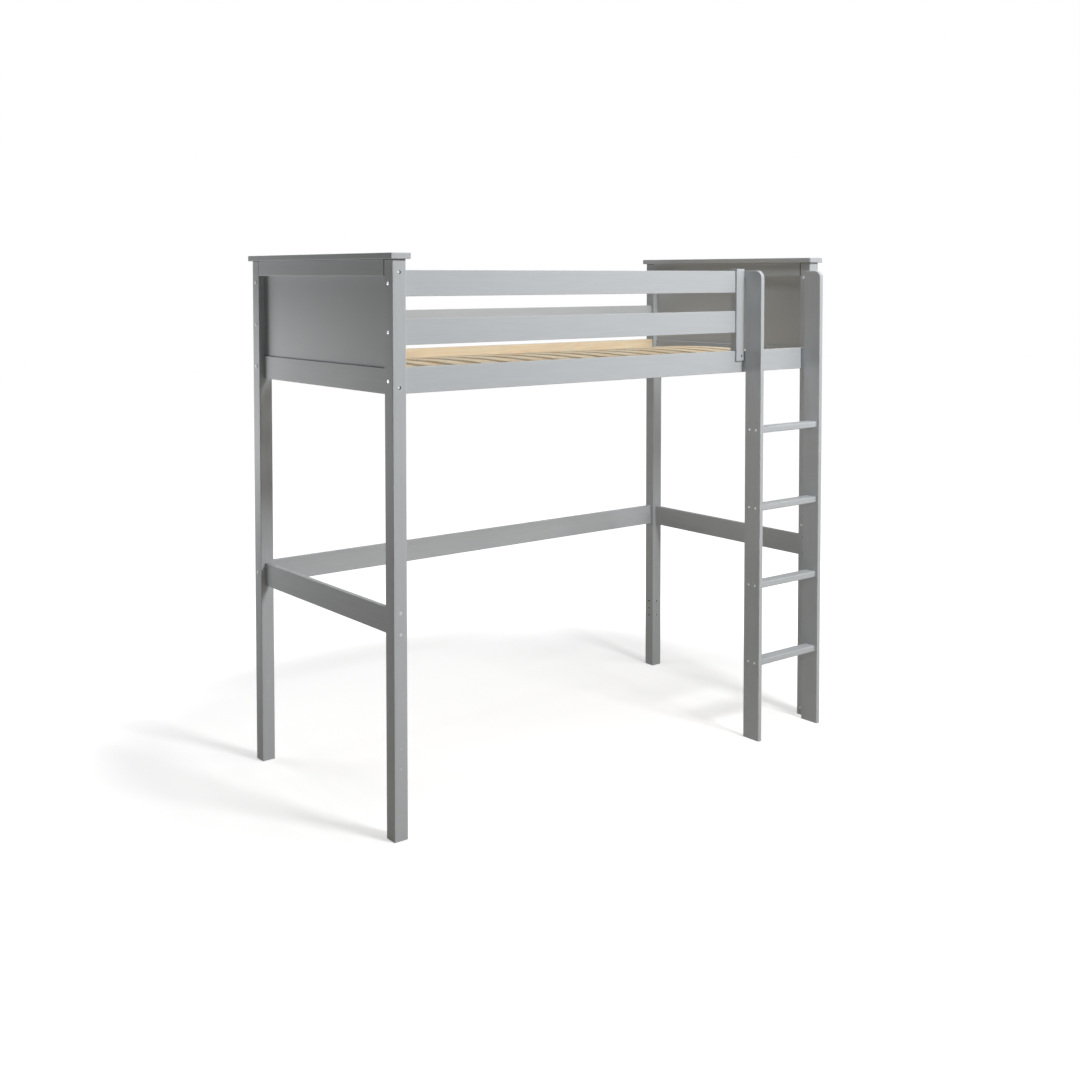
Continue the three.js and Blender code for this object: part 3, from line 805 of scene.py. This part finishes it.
class LOFTBED_OT_finishes(bpy.types.Operator):
    """Make the paint, pine, steel and plastic"""

    bl_idname = "loft_bed.finishes"
    bl_label = "Finishes"

    def execute(self, context):
        colours = context.scene.loft_bed_finishes
        for grain in AXES:
            paint_finish(colours, grain)
        pine_finish(colours, "x", 0.36)
        pine_finish(colours, "y", 0.85)
        panel_finish(colours)
        shade_finish()
        cover_finish(colours, "moulded_cover", 1.22)
        cover_finish(colours, "pale_cover", 1.45)
        cover_finish(colours, "flush_plug", 1.08)
        steel_finish(colours, "plated_steel", 0.80, 0.30, 0.9)
        # A darker copy of the plating: painted shade on the back row's bolts and on the frame screws
        steel_finish(colours, "shaded_zinc", 0.54, 0.46, 0.9)
        # A lighter, less metallic copy of the plating: painted light on the rung screws
        steel_finish(colours, "lit_zinc", 1.20, 0.46, 0.4)
        return {"FINISHED"}


class LOFTBED_OT_posts(PieceOperator):
    """Build the four posts with their bores and grooves"""

    bl_idname = "loft_bed.posts"
    bl_label = "Posts"

    def build(self, plan, s):
        for row in ROWS:
            for word in ENDS:
                self.post(plan, s, row, word)

    def post(self, plan, s, row, word):
        side, end, half = ROWS[row], ENDS[word], s.post_side / 2
        x, y = end * plan.post_x, plan.row_y[row]
        bm = box_mesh((x - half, y - half, 0), (x + half, y + half, s.post_height))
        ease(bm, long_edges(bm, "z"), POST_ARRIS, 4)
        ease(bm, rim(bm, "z", -1), POST_FOOT, 2)
        # The post's top edges, under the cap, get painted shade
        ease(bm, rim(bm, "z", 1), POST_JOINT, 2, joint=True)

        def bores(normal, heights, radius, depth, lip=LIP):
            """Bores down the middle of the side that looks along normal."""
            middle = Vector((x, y, 0)) + Vector(normal) * half
            return [bore(middle + Vector((0, 0, z)), normal, radius, depth, lip) for z in heights]

        out, inner = (end, 0, 0), (-end, 0, 0)
        sink(bm, bores(out, plan.spare_levels(row), PLUG, PLUG_DEEP, 0), material=0)
        holes = []
        for z in plan.spare_levels(row):
            holes += bores(inner, [z], BOLT_BORE, BOLT_BORE_DEEP)
            dowels = [z + plan.dowel_spread, z - plan.dowel_spread]
            holes += bores(inner, dowels, DOWEL_BORE, DOWEL_BORE_DEEP)
        sink(bm, holes)

        out, inner = (0, side, 0), (0, -side, 0)
        sink(bm, bores(out, plan.end_bolt_z, COUNTERBORE, COUNTERBORE_DEEP))
        sink(bm, bores(out, plan.spare_z, PLUG, PLUG_DEEP, 0), material=2)
        wide, face = s.panel_thick / 2 + FIT, y - side * half
        groove = rectangle(x - wide, plan.panel_base - FIT, x + wide, plan.panel_top + FIT)
        sink(bm, [pocket([(u, face, z) for u, z in groove], inner, s.tongue + FIT)])
        # The right posts' spare bores stay open and are lined with painted shade, and the left ones are
        # closed with a plug
        deep, lining = (SPARE_CLOSED, 2) if end < 0 else (SPARE_BORE_DEEP, 1)
        sink(bm, bores(inner, plan.spare_z, BOLT_BORE, deep), material=lining)
        name, finishes = f"{row}_{word}_post", "painted_pine_z bored_wood flush_plug"
        settle(plan, bm, name, finishes, f"post_{row}_{word}", board=1.0 + side + end * 0.37)


class LOFTBED_OT_long_rails(PieceOperator):
    """Build the guard rails, side rails and stretcher along the bed"""

    bl_idname = "loft_bed.long_rails"
    bl_label = "Long rails"

    def build(self, plan, s):
        half = s.rail_thick / 2
        for number, (node, row, z, ends) in enumerate(plan.long_rails()):
            y, inward = plan.row_y[row], -ROWS[row]
            right = plan.inner_x if 1 in ends else plan.upright_left + s.housing - FIT
            low = (-plan.inner_x, y - half, z - s.rail_high / 2)
            bm = box_mesh(low, (right, y + half, z + s.rail_high / 2))
            ease_bar(bm, "x", BOARD_ARRIS, BOARD_END)
            sink(bm, [nut_pocket((end * plan.nut_x, y + inward * half, z), (0, inward, 0)) for end in ends])
            settle(plan, bm, f"{node}_board", "painted_pine_x bored_wood", node, board=2.1 + number * 0.61)


class LOFTBED_OT_guard_upright(PieceOperator):
    """Build the upright that ends the front guard rails"""

    bl_idname = "loft_bed.guard_upright"
    bl_label = "Guard upright"

    def build(self, plan, s):
        left, right = plan.upright_left, plan.upright_right
        front, back = plan.upright_front, plan.upright_front + s.upright_deep
        lap, low, high = plan.recess - FIT, plan.upright_base, plan.top_top + s.upright_above
        step = plan.side_top
        section = [(front, low), (lap, low), (lap, step), (back, step), (back, high), (front, high)]
        bm = profile_mesh(section, "x", left, right)
        ease(bm, [e for e in bm.edges if stands_out(e)], BOARD_ARRIS, 3)
        housings = []
        for z in (plan.top_z, plan.mid_z):
            base, top = z - s.rail_high / 2 - FIT, z + s.rail_high / 2 + FIT
            corners = [(left, y, h) for y, h in rectangle(lap, base, plan.rail_back + FIT, top)]
            housings.append(pocket(corners, (-1, 0, 0), s.housing))
        sink(bm, housings)
        sink(bm, [screw_recess((right, plan.row_y["front"], z), (1, 0, 0)) for z in plan.guard_screw_z])
        x, z = plan.lap_screw
        sink(bm, [bore((x, front, z), (0, -1, 0), SCREW_HEAD, LAP_SCREW_RECESS)])
        settle(plan, bm, "guard_rail_upright", "painted_pine_z bored_wood", "guard_upright", board=3.3)


class LOFTBED_OT_panelled_ends(PieceOperator):
    """Build the caps, rails, panels and stretchers of both ends"""

    bl_idname = "loft_bed.panelled_ends"
    bl_label = "Panelled ends"

    def build(self, plan, s):
        y0, y1 = s.post_side, s.bed_width - s.post_side
        half, half_panel, half_post = s.rail_thick / 2, s.panel_thick / 2, s.post_side / 2
        reach, over = half_post + s.cap_overhang, s.cap_overhang
        for number, (word, end) in enumerate(ENDS.items()):
            x = end * plan.post_x
            top = s.post_height + s.cap_thick
            bm = box_mesh((x - reach, -over, s.post_height), (x + reach, s.bed_width + over, top))
            ease(bm, long_edges(bm, "z"), CAP_CORNER, 4)
            ease(bm, rim(bm, "z"), CAP_ARRIS, 4)
            settle(plan, bm, f"{word}_cap_board", "painted_pine_y", f"end_cap_{word}", board=4.1 + number)

            bm = self.grooved_rail(s, x, half_post, plan.end_top_base, plan.panel_top + FIT, s.post_height)
            # The rail's ends get painted shade where they meet the posts
            for way, gap in HEAD_RAIL_JOINTS:
                ease(bm, rim(bm, "y", way), gap, 2, joint=True)
            name, node = f"{word}_end_head_rail", f"end_top_rail_{word}"
            settle(plan, bm, name, "painted_pine_y bored_wood", node, board=5.2 + number * 0.7)

            low = (x - half_panel, y0 - s.tongue, plan.panel_base)
            bm = box_mesh(low, (x + half_panel, y1 + s.tongue, plan.panel_top))
            settle(plan, bm, f"{word}_end_board", "painted_panel", f"end_panel_{word}", board=6.0)

            bm = self.grooved_rail(s, x, half, plan.end_rail_top, plan.panel_base - FIT, plan.end_rail_base)
            ease(bm, rim(bm, "y"), FOOT_RAIL_END, 2)
            face, z = x - end * half, plan.end_bolt_z[1]
            sink(bm, [nut_pocket((face, y, z), (-end, 0, 0)) for y in plan.end_nut_y])
            name, node = f"{word}_end_foot_rail", f"end_bottom_rail_{word}"
            settle(plan, bm, name, "painted_pine_y bored_wood", node, board=7.4 + number * 0.9)

            low = plan.end_stretcher_z - s.rail_high / 2
            bm = box_mesh((x - half, y0, low), (x + half, y1, low + s.rail_high))
            ease_bar(bm, "y", BOARD_ARRIS, BOARD_END)
            name, node = f"{word}_end_low_rail", f"end_stretcher_{word}"
            settle(plan, bm, name, "painted_pine_y", node, board=8.3 + number * 1.1)

    def grooved_rail(self, s, x, half, mouth, groove, far):
        """A rail across the bed. The panel's groove runs from the edge at mouth to groove."""
        slot = s.panel_thick / 2 + FIT
        section = [
            (x - half, mouth), (x - slot, mouth), (x - slot, groove), (x + slot, groove),
            (x + slot, mouth), (x + half, mouth), (x + half, far), (x - half, far),
        ]
        bm = profile_mesh(section, "y", s.post_side, s.bed_width - s.post_side)
        outer = [e for e in long_edges(bm, "y") if abs(e.verts[0].co.x - x) > half * 0.9]
        ease(bm, outer, BOARD_ARRIS, 3)
        return bm


class LOFTBED_OT_slat_deck(PieceOperator):
    """Build the two bearers and the arched slats"""

    bl_idname = "loft_bed.slat_deck"
    bl_label = "Slat deck"

    def build(self, plan, s):
        reach = plan.inner_x - FIT
        for row, side in ROWS.items():
            face = plan.rail_back if row == "front" else s.bed_width - plan.rail_back
            leg, ledge = face - side * s.bearer_leg, face - side * (s.bearer_leg + s.bearer_ledge)
            section = [
                (face, plan.bearer_base), (ledge, plan.bearer_base), (ledge, plan.ledge_top),
                (leg, plan.ledge_top), (leg, plan.side_top), (face, plan.side_top),
            ]
            bm = profile_mesh(section, "x", -reach, reach)
            ease(bm, [e for e in long_edges(bm, "x") if stands_out(e)], BEARER_ARRIS, 3)
            if row == "front":
                for z, y in zip(plan.ladder_screw_z, (leg, ledge)):
                    sink(bm, [screw_recess((x, y, z), (0, 1, 0)) for x in plan.stringer_x.values()])
            name, node = f"{row}_slat_ledge", f"slat_bearer_{row}"
            board = 0.4 + side * 0.9
            settle(plan, bm, name, "natural_pine_x bored_wood", node, slot="natural_pine", board=board)
        for index in range(s.slats):
            self.slat(plan, s, index)

    def slat(self, plan, s, index):
        """A flat lath bent up along its length."""
        length = s.bed_width - 2 * (plan.rail_back + s.bearer_leg + SLAT_PLAY)
        travel = 2 * plan.inner_x - s.slat_wide - 2 * s.slat_margin
        x, half = travel * (index / (s.slats - 1) - 0.5), s.slat_wide / 2
        bm = box_mesh((x - half, -length / 2, 0), (x + half, length / 2, s.slat_thick))
        ease_bar(bm, "y", SLAT_ARRIS, SLAT_END)
        for step in range(1, SLAT_STEPS):
            at = (0, length * (step / SLAT_STEPS - 0.5), 0)
            parts = bm.verts[:] + bm.edges[:] + bm.faces[:]
            bmesh.ops.bisect_plane(bm, geom=parts, plane_co=at, plane_no=(0, 1, 0))
        for v in bm.verts:
            share = 2 * v.co.y / length
            v.co.z += s.slat_rise * (1 - share * share)
        bmesh.ops.translate(bm, vec=(0, plan.middle_y, plan.ledge_top + FIT), verts=bm.verts)
        name, node = f"lath_{index + 1:02d}", f"slat_{index + 1:02d}"
        settle(plan, bm, name, "natural_pine_y", node, slot="natural_pine", board=1.7 * index + 0.31)


class LOFTBED_OT_ladder(PieceOperator):
    """Build the ladder's sides, rungs and spacers"""

    bl_idname = "loft_bed.ladder"
    bl_label = "Ladder"

    def build(self, plan, s):
        for word, x in plan.stringer_x.items():
            self.side(plan, s, word, x)
            self.block(plan, s, word, x)
        left = plan.stringer_x["left"] + s.stringer_thick / 2
        y = plan.stringer_y - RUNG_FORWARD
        for index, z in enumerate(plan.rung_z):
            low = (left, y - s.rung_deep / 2, z - s.rung_thick / 2)
            bm = box_mesh(low, (left + s.ladder_clear, y + s.rung_deep / 2, z + s.rung_thick / 2))
            ease(bm, long_edges(bm, "x"), RUNG_ARRIS, 6)
            name, node = f"ladder_step_{index + 1}", f"ladder_rung_{index + 1}"
            settle(plan, bm, name, "painted_pine_x", node, board=10.4 + index * 0.83)

    def side(self, plan, s, word, x):
        half, end = s.stringer_thick / 2, ENDS[word]
        top = plan.top_top + STRINGER_PAST
        bm = box_mesh((x - half, plan.stringer_front, 0), (x + half, -s.stand_off, top))
        corner = [
            e for e in long_edges(bm, "x")
            if e.verts[0].co.z > top / 2 and e.verts[0].co.y < plan.stringer_y
        ]
        ease(bm, corner, s.stringer_round, 14)
        ease(bm, rim(bm, "x"), s.stringer_ease, 4)
        arris = bm.faces.layers.float["arris"]
        for face in bm.faces:
            if abs(face.normal.x) < 0.01:
                face[arris] = 0.0
        sink(bm, [screw_recess((x + end * half, y, z), (end, 0, 0)) for y, z in plan.rung_screws])
        name, node = f"ladder_side_{word}", f"ladder_stringer_{word}"
        settle(plan, bm, name, "painted_pine_z bored_wood", node, board=9.1 + end * 0.8)

    def block(self, plan, s, word, x):
        """The spacer between a ladder side and the recessed side rail."""
        slim = s.stringer_thick / 2 - s.spacer_inset
        low = (x - slim, -s.stand_off, s.side_rail_base + BLOCK_SHORT)
        bm = box_mesh(low, (x + slim, plan.recess, plan.side_top - BLOCK_SHORT))
        ease_bar(bm, "z", BLOCK_ARRIS, BLOCK_END)
        settle(plan, bm, f"ladder_block_{word}", "painted_pine_z", f"ladder_spacer_{word}", board=9.9)


class LOFTBED_OT_bolts(PieceOperator):
    """Build the bolts' heads and the barrel nuts"""

    bl_idname = "loft_bed.bolts"
    bl_label = "Bolts and nuts"

    def build(self, plan, s):
        # The back row's bolts take the darker copy of the plating, as painted shade
        for row, finish in (("front", "plated_steel"), ("back", "shaded_zinc")):
            bolts = {
                f"bolt_{node}_{word}": facing((end, 0, 0), (end * plan.outer_x, plan.row_y[row], z))
                for node, at, z, ends in plan.long_rails()
                for word, end in ENDS.items()
                if at == row and end in ends
            }
            heads = gather(self.head(BOLT_HEAD, BOLT_PROUD), bolts.values())
            settle(plan, heads, f"{row}_domed_bolts", finish, *bolts, slot="plated_steel")

        sunk = []
        for row, side in ROWS.items():
            y = plan.row_y[row] + side * (s.post_side / 2 - SUNK_SEAT)
            sunk += plan.across_ends((0, side, 0), y, plan.end_bolt_z)
        heads = gather(self.head(SUNK_HEAD, SUNK_HEAD_HIGH), sunk)
        settle(plan, heads, "sunk_bolts", "plated_steel", slot="plated_steel")

        nuts = []
        floor = s.rail_thick / 2 - NUT_POCKET_DEEP
        for _, row, z, ends in plan.long_rails():
            inward = -ROWS[row]
            y = plan.row_y[row] + inward * floor
            nuts += [facing((0, inward, 0), (end * plan.nut_x, y, z)) for end in ends]
        for end in (-1, 1):
            x, z = end * (plan.post_x - floor), plan.end_bolt_z[1]
            nuts += [facing((-end, 0, 0), (x, y, z)) for y in plan.end_nut_y]
        w, h = NUT_SLOT
        slot = [(u, v, NUT_PROUD) for u, v in rectangle(-w, -h, w, h)]
        nut = turned(NUT_STEPS, SMALL_SIDES, pocket(slot, (0, 0, 1), NUT_SLOT_DEEP))
        settle(plan, gather(nut, nuts), "barrel_nuts", "plated_steel", slot="plated_steel")

    def head(self, radius, proud):
        """A domed head with a flat top and a six-sided socket."""
        base = proud * DOME_BASE
        dome = [(radius * math.cos(turn), base + (proud - base) * math.sin(turn)) for turn in DOME_TURNS]
        peak = dome[-1][1]
        socket = bore((0, 0, peak), (0, 0, 1), HEXAGON, HEXAGON_DEEP, 0, 6)
        steps = [(BOLT_FLAT, -BOLT_SHANK), (BOLT_FLAT, 0), (radius, 0), *dome, (BOLT_FLAT, peak)]
        return turned(steps, SIDES, socket)


class LOFTBED_OT_fittings(PieceOperator):
    """Build the screw heads, screw covers and threaded inserts"""

    bl_idname = "loft_bed.fittings"
    bl_label = "Screws and covers"

    def build(self, plan, s):
        rungs, others = [], []
        for word, x in plan.stringer_x.items():
            end = ENDS[word]
            face = x + end * (s.stringer_thick / 2 - SCREW_SUNK)
            rungs += [facing((end, 0, 0), (face, y, z)) for y, z in plan.rung_screws]
            for z, deep in zip(plan.ladder_screw_z, (s.bearer_leg, s.bearer_leg + s.bearer_ledge)):
                others.append(facing((0, 1, 0), (x, plan.rail_back + deep - SCREW_SUNK, z)))
        x, y = plan.upright_right - SCREW_SUNK, plan.row_y["front"]
        others += [facing((1, 0, 0), (x, y, z)) for z in plan.guard_screw_z]
        x, z = plan.lap_screw
        others.append(facing((0, -1, 0), (x, plan.upright_front + LAP_SCREW_SUNK, z)))
        # The rung screws take the lighter copy of the plating as painted light, and the other screws take
        # the darker copy as painted shade
        for name, places, finish in (
            ("rung_screws", rungs, "lit_zinc"),
            ("frame_screws", others, "shaded_zinc"),
        ):
            settle(plan, gather(self.screw(), places), name, finish, slot="plated_steel")

        covers = []
        for row, side in ROWS.items():
            y = plan.row_y[row] + side * s.post_side / 2
            covers += plan.across_ends((0, side, 0), y, plan.cover_z)
        settle(plan, gather(turned(COVER_STEPS, SIDES), covers), "screw_covers", "moulded_cover")

        heights = (s.post_height - INSERT_DROP, *LOW_INSERTS)
        inserts = [facing((-1, 0, 0), (plan.inner_x, INSERT_Y, z)) for z in heights]
        for name, places, finish, deep in (
            ("high_insert", inserts[:1], "plated_steel", INSERT_DEEP),
            ("low_inserts", inserts[1:], "pale_cover", INSERT_CLOSED),
        ):
            threads = bore((0, 0, INSERT_STEPS[-1][1]), (0, 0, 1), INSERT_BORE, deep, INSERT_LIP)
            insert = turned(INSERT_STEPS, SMALL_SIDES, threads)
            settle(plan, gather(insert, places), name, finish, slot="plated_steel")

    def screw(self):
        """A flat head with a cross recess."""
        a, b = CROSS
        corners, arm = [], [(a, a), (b, a), (b, -a)]
        for _ in range(4):
            corners += [(u, v, 0) for u, v in arm]
            arm = [(v, -u) for u, v in arm]
        return turned(SCREW_STEPS, SMALL_SIDES, pocket(corners, (0, 0, 1), CROSS_DEEP))


class LOFTBED_OT_studio(bpy.types.Operator):
    """Set up the floor, the lamps, the surroundings and the camera"""

    bl_idname = "loft_bed.studio"
    bl_label = "Studio"

    def execute(self, context):
        scene = context.scene
        studio = scene.loft_bed_studio
        self.floor(scene)
        self.surroundings(scene, studio)
        self.lamp(scene, "key_light", (0.6, -4.1, 3.7), (0, 0, 1.0), 1.1, studio.key_power)
        self.lamp(scene, "top_light", (0, 0, 6.5), (0, 0, 1.0), 3.2, studio.top_power)
        self.lamp(scene, "side_light", (3.2, -3.6, 3.2), (0.4, 0, 1.2), 2.4, studio.side_power)
        self.lamp(scene, "back_light", (-1.8, 2.0, 1.15), (-1.0, 0.6, 1.3), 1.0, studio.back_power, 110)
        camera = bpy.data.objects.new("camera", bpy.data.cameras.new("camera"))
        scene.collection.objects.link(camera)
        camera.location = CAMERA_PLACE
        camera.rotation_euler = (math.pi / 2 - CAMERA_TILT, 0, -CAMERA_AZIMUTH)
        camera.data.lens = studio.lens
        camera.data.shift_y = CAMERA_SHIFT
        camera.data.clip_end = 100
        scene.camera = camera
        scene.view_settings.view_transform = "Standard"
        return {"FINISHED"}

    def floor(self, scene):
        """A pale floor. The camera sees it lighter than the lamps light it, and for the camera, reflections
        and glass it also glows: painted light that lifts it to white, less so near the bed.
        """
        bm = bmesh.new()
        bmesh.ops.create_grid(bm, x_segments=1, y_segments=1, size=20)
        mesh = bpy.data.meshes.new("studio_floor")
        bm.to_mesh(mesh)
        bm.free()
        floor = bpy.data.objects.new("studio_floor", mesh)
        scene.collection.objects.link(floor)
        finish = Finish("studio_floor")
        mesh.materials.append(finish.material)
        camera = finish.camera()
        finish.wear(
            Base_Color=finish.mix(camera, (0.64, 0.60, 0.54), (0.90, 0.90, 0.90)),
            Roughness=0.9,
            Specular_IOR_Level=0.1,
        )
        at = finish.place((0.75, 1.0, 1.0), offset=(0.075, -0.35, 0.0))
        away = finish.number("ShaderNodeVectorMath", {"operation": "LENGTH"}, {0: at}, "Value")
        lift = 0.47 + away.between(1.0, 1.7) * 0.49
        glow = finish.node("ShaderNodeEmission", {}, {"Strength": finish.seen(camera) * lift})
        both = finish.node("ShaderNodeAddShader", {}, {0: finish.shader.outputs[0], 1: glow.outputs[0]})
        finish.feed(finish.output.inputs["Surface"], both.outputs[0])

    def surroundings(self, scene, studio):
        """Plain white to look at, and a faint plain light."""
        scene.world = bpy.data.worlds.new("studio")
        nodes = Nodes(scene.world)
        shown = nodes.seen(nodes.camera()).between(0.0, 1.0)
        strength = studio.ambient + shown * (1.0 - studio.ambient)
        back = nodes.node("ShaderNodeBackground", {}, {"Color": (1, 1, 1), "Strength": strength})
        nodes.node("ShaderNodeOutputWorld", {}, {"Surface": back.outputs[0]})

    def lamp(self, scene, name, at, aim, width, power, spread=180):
        """A soft square lamp that the camera doesn't see."""
        lamp = bpy.data.lights.new(name, "AREA")
        lamp.shape = "SQUARE"
        lamp.size = width
        lamp.energy = power
        lamp.spread = math.radians(spread)
        holder = bpy.data.objects.new(name, lamp)
        holder.visible_camera = False
        scene.collection.objects.link(holder)
        holder.location = at
        holder.rotation_euler = (Vector(aim) - Vector(at)).to_track_quat("-Z", "Y").to_euler()


class LOFTBED_PT_sidebar(bpy.types.Panel):
    """Lists the sizes, the finishes and the operators in order"""

    bl_idname = "LOFTBED_PT_sidebar"
    bl_label = "Loft bed"
    bl_space_type = "VIEW_3D"
    bl_region_type = "UI"
    bl_category = "Loft bed"

    def draw(self, context):
        for name in GROUPS:
            group = getattr(context.scene, name)
            box = self.layout.box()
            for key in group.__annotations__:
                box.prop(group, key)
        for operator in OPERATORS:
            self.layout.operator(operator.bl_idname)


OPERATORS = (
    LOFTBED_OT_studio,
    LOFTBED_OT_finishes,
    LOFTBED_OT_posts,
    LOFTBED_OT_long_rails,
    LOFTBED_OT_guard_upright,
    LOFTBED_OT_panelled_ends,
    LOFTBED_OT_slat_deck,
    LOFTBED_OT_ladder,
    LOFTBED_OT_bolts,
    LOFTBED_OT_fittings,
)
GROUPS = {
    "loft_bed_sizes": LoftBedSizes,
    "loft_bed_finishes": LoftBedFinishes,
    "loft_bed_studio": LoftBedStudio,
}


def register():
    for group in GROUPS.values():
        bpy.utils.register_class(group)
    for operator in OPERATORS:
        bpy.utils.register_class(operator)
    bpy.utils.register_class(LOFTBED_PT_sidebar)
    for name, group in GROUPS.items():
        setattr(bpy.types.Scene, name, PointerProperty(type=group))


def unregister():
    for name in GROUPS:
        delattr(bpy.types.Scene, name)
    bpy.utils.unregister_class(LOFTBED_PT_sidebar)
    for operator in reversed(OPERATORS):
        bpy.utils.unregister_class(operator)
    for group in reversed(GROUPS.values()):
        bpy.utils.unregister_class(group)


def main():
    register()
    for operator in OPERATORS:
        group, name = operator.bl_idname.split(".")
        getattr(getattr(bpy.ops, group), name)()


if __name__ == "__main__":
    main()
